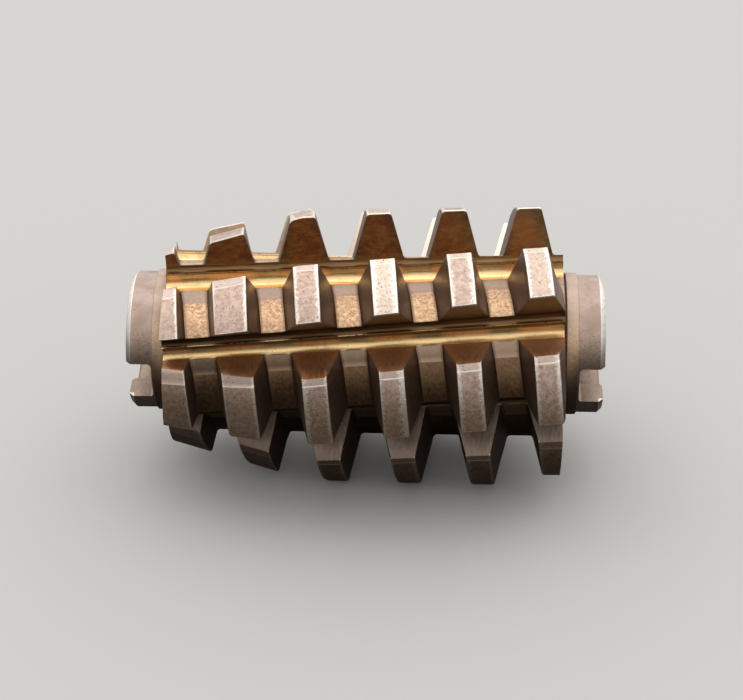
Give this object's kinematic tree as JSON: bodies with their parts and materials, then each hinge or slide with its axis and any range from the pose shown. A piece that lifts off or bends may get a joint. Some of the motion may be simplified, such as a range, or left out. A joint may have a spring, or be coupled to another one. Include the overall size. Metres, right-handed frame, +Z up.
{
  "type": "gear hob",
  "caption": "One-piece cylindrical gear-cutting hob: relieved rack teeth on a screw thread, helical gashes, lead-in taper, rings and slotted hubs on a through bore.",
  "frame": {"origin": "middle of the bore, on the hob's axis, halfway between the two end faces", "axes": "+X along the axis towards the end away from the lead-in taper, +Z up as the hob lies on a table, -Y towards the front"},
  "size_m": [0.1198, 0.072, 0.0711],
  "materials": {
    "ground_land": "relief-ground high-speed steel with a grey-brown tempered film",
    "amber_film": "golden tempering film on the root lands and gash floors",
    "cutting_face": "fine-ground cutting faces under a dark brown film",
    "heel_face": "milled heel faces under a reddish brown film",
    "flank": "relief-ground flanks, dark brown",
    "hub": "ground hubs, rings, end faces and bore, satin brown-grey",
    "worn_edge": "edges rubbed bright"
  },
  "bodies": {
    "root": {"hob": "ground_land"}
  },
  "joints": []
}
